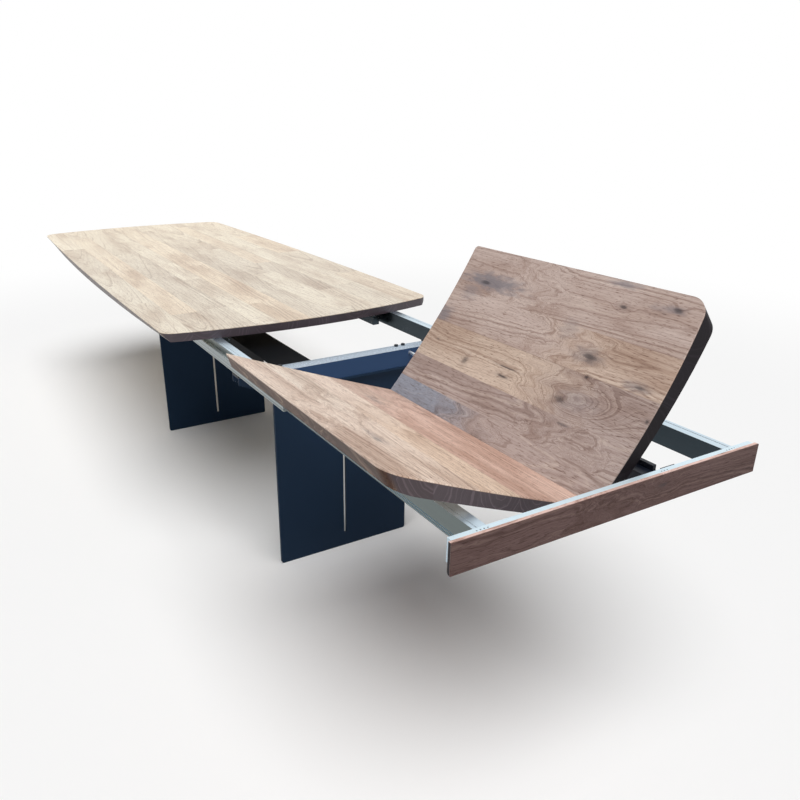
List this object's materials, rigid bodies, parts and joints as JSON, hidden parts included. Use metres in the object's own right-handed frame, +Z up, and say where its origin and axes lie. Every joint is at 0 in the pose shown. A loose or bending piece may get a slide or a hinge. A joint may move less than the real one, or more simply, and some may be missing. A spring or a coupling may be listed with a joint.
{
  "type": "extending dining table with a folding leaf",
  "caption": "Long walnut dining table on two slotted plate legs; its top and sliding frame draw apart, and a hinged two-part leaf unfolds into the gap.",
  "frame": {"origin": "on the floor, under the middle of the drawn-out table's length and width", "axes": "+X along the table towards the end apron, +Y to the far side, +Z up"},
  "size_m": [3.722, 1.008, 1.0234],
  "materials": {
    "walnut_top": "oiled walnut planks",
    "walnut_near": "oiled walnut planks",
    "walnut_far": "oiled walnut planks with knots",
    "walnut_apron": "oiled walnut",
    "navy_paint": "fine-textured powder coat",
    "black_paint": "satin black paint",
    "dark_metal": "black coated steel",
    "rail_aluminium": "satin anodised",
    "profile_aluminium": "bright anodised",
    "guide_aluminium": "satin anodised, extruded lines",
    "black_plastic": "matte",
    "grey_plastic": "matte",
    "dark_screw": "blackened",
    "zinc_steel": "zinc plated"
  },
  "bodies": {
    "base": {"leg_front": "navy_paint", "leg_rear": "navy_paint", "crossbar_front": "navy_paint", "crossbar_rear": "navy_paint", "leg_bolts": "zinc_steel", "spine_beam": "black_paint", "cross_arms": "black_paint", "rail_guide_near": "guide_aluminium", "rail_guide_far": "guide_aluminium", "guide_stops": "grey_plastic", "guide_blocks": "black_plastic", "slide_pads": "black_plastic", "stop_pins": "zinc_steel", "top_channel_near": "guide_aluminium", "top_channel_far": "guide_aluminium"},
    "main_top": {"main_top": "walnut_top", "top_runner_near": "rail_aluminium", "top_runner_far": "rail_aluminium", "runner_screws": "zinc_steel"},
    "sliding_frame": {"side_rail_near": "rail_aluminium", "side_rail_far": "rail_aluminium", "end_profile": "profile_aluminium", "end_apron": "walnut_apron", "rail_screws": "dark_screw", "bracket_screws": "dark_screw", "leaf_bracket": "dark_metal", "leaf_rest_bar": "dark_metal", "pivot_brackets": "dark_metal", "pivot_pins": "zinc_steel"},
    "leaf_near": {"leaf_near": "walnut_near", "hinge_cups_near": "zinc_steel", "pivot_lugs": "zinc_steel"},
    "leaf_far": {"leaf_far": "walnut_far", "hinge_cups_far": "zinc_steel"}
  },
  "joints": [
    {"name": "top_slide", "type": "slide", "parent": "base", "child": "main_top", "axis": [1, 0, 0], "range_m": [0, 0.232]},
    {"name": "frame_slide", "type": "slide", "parent": "base", "child": "sliding_frame", "axis": [1, 0, 0], "range_m": [-0.232, 0]},
    {"name": "leaf_fold", "type": "hinge", "parent": "leaf_near", "child": "leaf_far", "pos_m": [1.406, 0.00331, 0.65907], "axis": [1, 0, 0], "range_deg": [-68, 100]},
    {"name": "leaf_pivot", "type": "hinge", "parent": "sliding_frame", "child": "leaf_near", "pos_m": [1.406, -0.289, 0.7], "axis": [1, 0, 0], "range_deg": [-30, 19.7]}
  ],
  "couplings": [
    {"joint": "frame_slide", "follows": "top_slide", "ratio": -1},
    {"joint": "leaf_pivot", "follows": "leaf_fold", "ratio": -0.28971}
  ]
}
